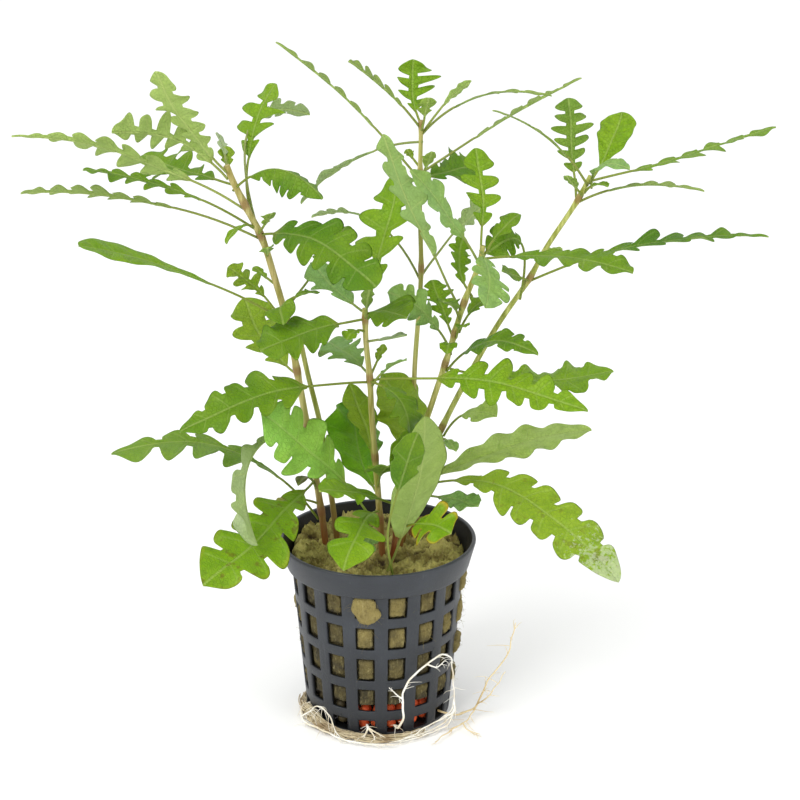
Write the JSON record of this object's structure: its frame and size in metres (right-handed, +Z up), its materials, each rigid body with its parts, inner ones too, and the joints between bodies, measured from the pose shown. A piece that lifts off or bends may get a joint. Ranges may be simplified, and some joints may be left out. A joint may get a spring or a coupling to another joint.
{
  "type": "potted aquarium stem plant",
  "caption": "Aquarium stem plant with deeply lobed leaves in pairs on slender stems, rooted in a rock wool plug in a round net pot with windows, white roots around its foot.",
  "frame": {"origin": "centre of the underside of the pot's base", "axes": "+Z up out of the pot's mouth, -Y towards the front, +X to the right seen from the front"},
  "size_m": [0.208, 0.082, 0.193],
  "materials": {
    "pot": "satin dark slate plastic",
    "granules": "dull orange-red",
    "wool": "damp, fibrous, olive brown",
    "stem": "smooth, yellow-green with red-brown nodes",
    "leaf_bright": "satin, bright green",
    "leaf_deep": "satin, deep green",
    "leaf_yellow": "satin, yellow-green",
    "leaf_pale": "matte, pale green underside",
    "leaf_blue": "satin, blue-green",
    "root": "smooth, cream white"
  },
  "bodies": {
    "root": {"net_pot": "pot", "granule_layer": "granules", "rock_wool": "wool", "left_stem": "stem", "inner_stem": "stem", "front_stem": "stem", "middle_stem": "stem", "back_stem": "stem", "right_stem": "stem", "short_stem": "stem", "left_leaf_1": "leaf_pale", "left_leaf_2": "leaf_pale", "left_leaf_3": "leaf_pale", "left_leaf_4": "leaf_pale", "left_leaf_5": "leaf_deep", "left_leaf_6": "leaf_bright", "left_leaf_7": "leaf_deep", "left_leaf_8": "leaf_deep", "left_leaf_9": "leaf_bright", "left_leaf_10": "leaf_yellow", "left_leaf_11": "leaf_bright", "left_leaf_12": "leaf_pale", "left_leaf_13": "leaf_bright", "front_leaf_1": "leaf_bright", "front_leaf_2": "leaf_deep", "front_leaf_3": "leaf_bright", "front_leaf_4": "leaf_deep", "front_leaf_5": "leaf_deep", "front_leaf_6": "leaf_blue", "front_leaf_7": "leaf_bright", "middle_leaf_1": "leaf_blue", "middle_leaf_2": "leaf_blue", "middle_leaf_3": "leaf_bright", "middle_leaf_4": "leaf_blue", "middle_leaf_5": "leaf_blue", "middle_leaf_6": "leaf_deep", "middle_leaf_7": "leaf_deep", "middle_leaf_8": "leaf_bright", "middle_leaf_9": "leaf_yellow", "back_leaf_1": "leaf_bright", "back_leaf_2": "leaf_bright", "back_leaf_3": "leaf_bright", "back_leaf_4": "leaf_bright", "back_leaf_5": "leaf_bright", "back_leaf_6": "leaf_deep", "right_leaf_1": "leaf_bright", "right_leaf_2": "leaf_bright", "right_leaf_3": "leaf_bright", "right_leaf_4": "leaf_pale", "right_leaf_6": "leaf_bright", "right_leaf_7": "leaf_yellow", "right_leaf_8": "leaf_bright", "short_leaf_1": "leaf_bright", "short_leaf_2": "leaf_bright", "basal_leaf": "leaf_pale", "basal_leaf_2": "leaf_deep", "root_loop": "root", "root_spray": "root", "root_mat": "root", "root_tuft": "root"}
  },
  "joints": []
}
